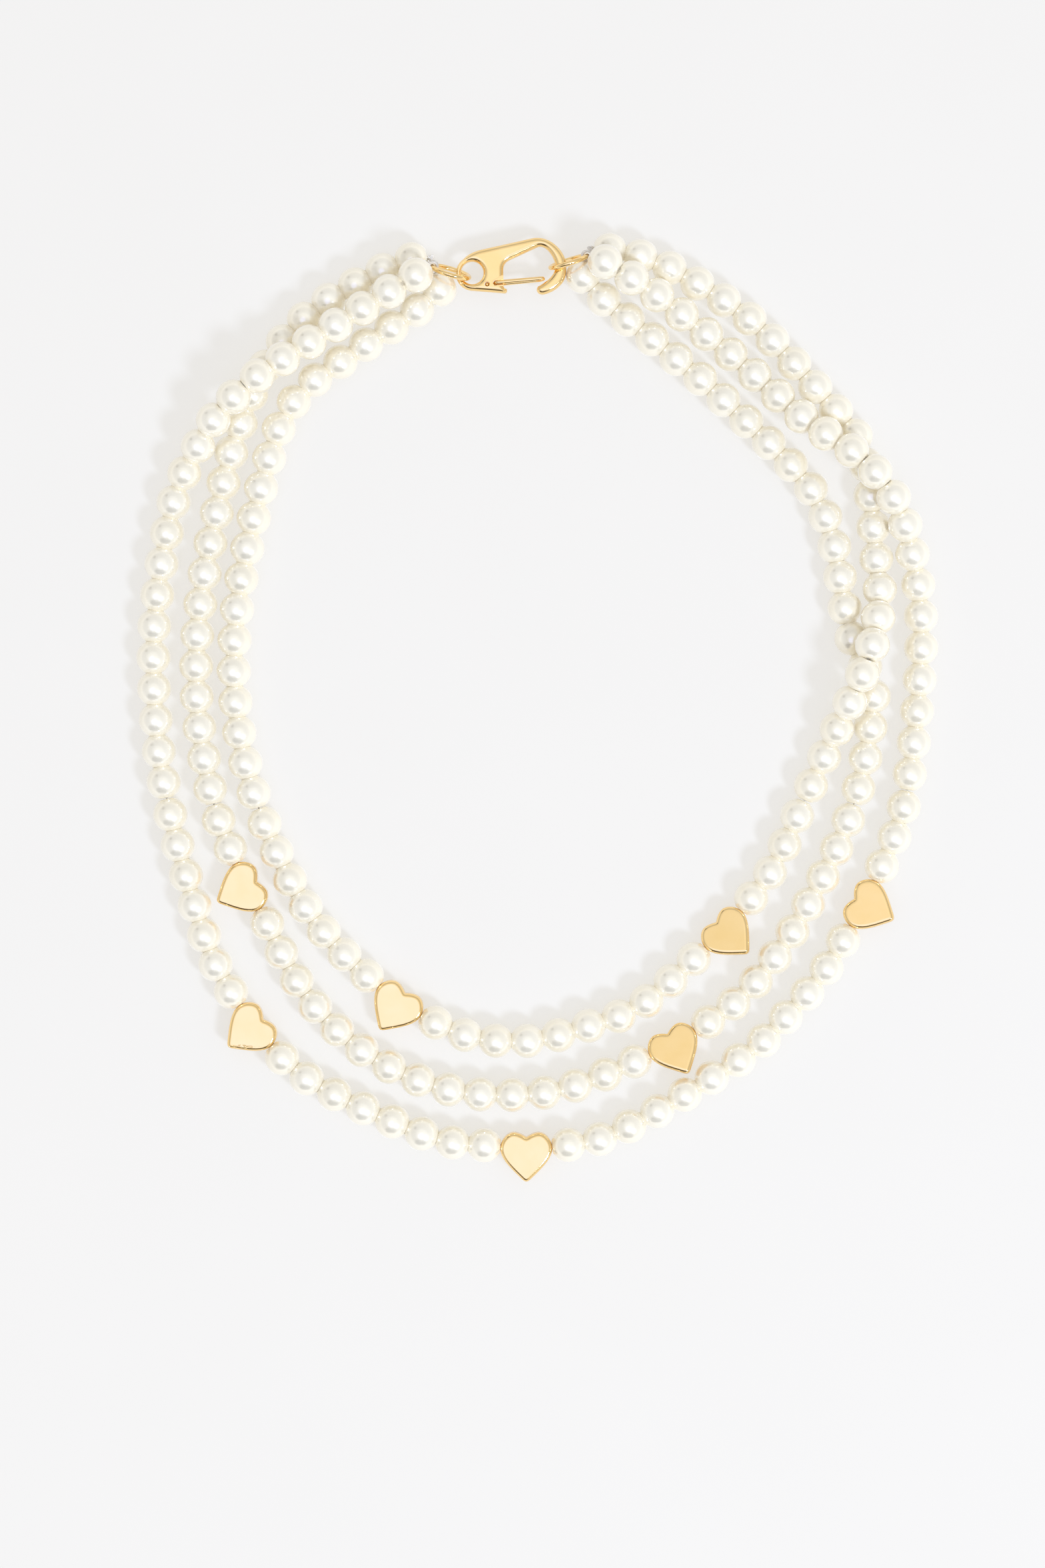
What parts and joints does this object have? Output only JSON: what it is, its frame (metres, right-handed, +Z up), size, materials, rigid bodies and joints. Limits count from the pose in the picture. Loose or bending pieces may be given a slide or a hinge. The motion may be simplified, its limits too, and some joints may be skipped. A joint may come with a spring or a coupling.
{
  "type": "pearl necklace",
  "caption": "Three-strand pearl necklace with heart-shaped metal beads, closed by a wire-gate clasp between two jump rings and laid in its worn outline.",
  "frame": {"origin": "centre of the bounding box's footprint, on the surface the necklace lies on", "axes": "+Y from the hearts towards the clasp, +Z up from the surface, +X to the wearer's left as seen from above with the clasp at the top"},
  "size_m": [0.1406, 0.1668, 0.0122],
  "materials": {
    "pearl": "pearl lacquer, soft gloss",
    "gold": "polished gold plating",
    "nylon": "clear nylon thread"
  },
  "bodies": {
    "sides": {"inner_pearls_nape_left": "pearl", "inner_pearls_side_left": "pearl", "inner_pearls_side_right": "pearl", "inner_pearls_nape_right": "pearl", "inner_thread_left": "nylon", "inner_thread_right": "nylon", "middle_pearls_nape_left": "pearl", "middle_pearls_side_left": "pearl", "middle_pearls_side_right": "pearl", "middle_pearls_nape_right": "pearl", "middle_thread_left": "nylon", "middle_thread_right": "nylon", "outer_pearls_nape_left": "pearl", "outer_pearls_side_left": "pearl", "outer_pearls_side_right": "pearl", "outer_pearls_nape_right": "pearl", "outer_thread_left": "nylon", "outer_thread_right": "nylon"},
    "inner_front": {"inner_pearls_front_1": "pearl", "inner_pearls_front_2": "pearl", "inner_pearls_front_3": "pearl", "inner_thread_front": "nylon"},
    "middle_front": {"middle_pearls_front_1": "pearl", "middle_pearls_front_2": "pearl", "middle_pearls_front_3": "pearl", "middle_thread_front": "nylon"},
    "outer_front": {"outer_pearls_front_1": "pearl", "outer_pearls_front_2": "pearl", "outer_pearls_front_3": "pearl", "outer_pearls_front_4": "pearl", "outer_thread_front": "nylon"},
    "inner_heart_left": {"inner_heart_left": "gold"},
    "inner_heart_right": {"inner_heart_right": "gold"},
    "middle_heart_left": {"middle_heart_left": "gold"},
    "middle_heart_right": {"middle_heart_right": "gold"},
    "outer_heart_left": {"outer_heart_left": "gold"},
    "outer_heart_centre": {"outer_heart_centre": "gold"},
    "outer_heart_right": {"outer_heart_right": "gold"},
    "left_ring": {"left_jump_ring": "gold"},
    "clasp": {"clasp_frame": "gold"},
    "gate": {"clasp_gate": "gold"},
    "right_ring": {"right_jump_ring": "gold"}
  },
  "joints": [
    {"name": "inner_front_fold", "type": "hinge", "parent": "sides", "child": "inner_front", "pos_m": [-0.00086, -0.01421, 0.003], "axis": [-0.9999, -0.0128, 0], "range_deg": [-90, 110]},
    {"name": "middle_front_fold", "type": "hinge", "parent": "sides", "child": "middle_front", "pos_m": [-0.00052, -0.01409, 0.003], "axis": [-1, 0, 0], "range_deg": [-90, 110]},
    {"name": "outer_front_fold", "type": "hinge", "parent": "sides", "child": "outer_front", "pos_m": [-0.00011, -0.01226, 0.003], "axis": [-0.9999, -0.011, 0], "range_deg": [-90, 110]},
    {"name": "inner_heart_left_spin", "type": "hinge", "parent": "inner_front", "child": "inner_heart_left", "pos_m": [-0.02419, -0.05146, 0.003], "axis": [0.8251, -0.565, 0], "range_deg": [-120, 120]},
    {"name": "inner_heart_right_spin", "type": "hinge", "parent": "inner_front", "child": "inner_heart_right", "pos_m": [0.03276, -0.03887, 0.003], "axis": [0.6899, 0.7239, 0], "range_deg": [-120, 120]},
    {"name": "middle_heart_left_spin", "type": "hinge", "parent": "middle_front", "child": "middle_heart_left", "pos_m": [-0.05085, -0.03124, 0.003], "axis": [0.4432, -0.8964, 0], "range_deg": [-120, 120]},
    {"name": "middle_heart_right_spin", "type": "hinge", "parent": "middle_front", "child": "middle_heart_right", "pos_m": [0.02373, -0.05884, 0.003], "axis": [0.8832, 0.4691, 0], "range_deg": [-120, 120]},
    {"name": "outer_heart_left_spin", "type": "hinge", "parent": "outer_front", "child": "outer_heart_left", "pos_m": [-0.04957, -0.05577, 0.003], "axis": [0.6102, -0.7923, 0], "range_deg": [-120, 120]},
    {"name": "outer_heart_centre_spin", "type": "hinge", "parent": "outer_front", "child": "outer_heart_centre", "pos_m": [-0.00193, -0.07717, 0.003], "axis": [1, 0, 0], "range_deg": [-120, 120]},
    {"name": "outer_heart_right_spin", "type": "hinge", "parent": "outer_front", "child": "outer_heart_right", "pos_m": [0.05738, -0.03434, 0.003], "axis": [0.4619, 0.8869, 0], "range_deg": [-120, 120]},
    {"name": "left_ring_swing", "type": "hinge", "parent": "sides", "child": "left_ring", "pos_m": [-0.01845, 0.07785, 0.0038], "axis": [0.954, -0.2997, 0], "range_deg": [-4, 4]},
    {"name": "clasp_twist", "type": "hinge", "parent": "left_ring", "child": "clasp", "pos_m": [-0.01205, 0.07585, 0.0038], "axis": [0.9947, 0.1031, 0], "range_deg": [-6, 6]},
    {"name": "gate_press", "type": "hinge", "parent": "clasp", "child": "gate", "pos_m": [-0.00809, 0.07477, 0.0038], "axis": [0, 0, 1], "range_deg": [0, 15], "stiffness_Nm_per_rad": 0.002, "springref_deg": -8.59},
    {"name": "right_ring_swing", "type": "hinge", "parent": "sides", "child": "right_ring", "pos_m": [0.00874, 0.0797, 0.0038], "axis": [0.9501, 0.312, 0], "range_deg": [-10, 3]}
  ]
}
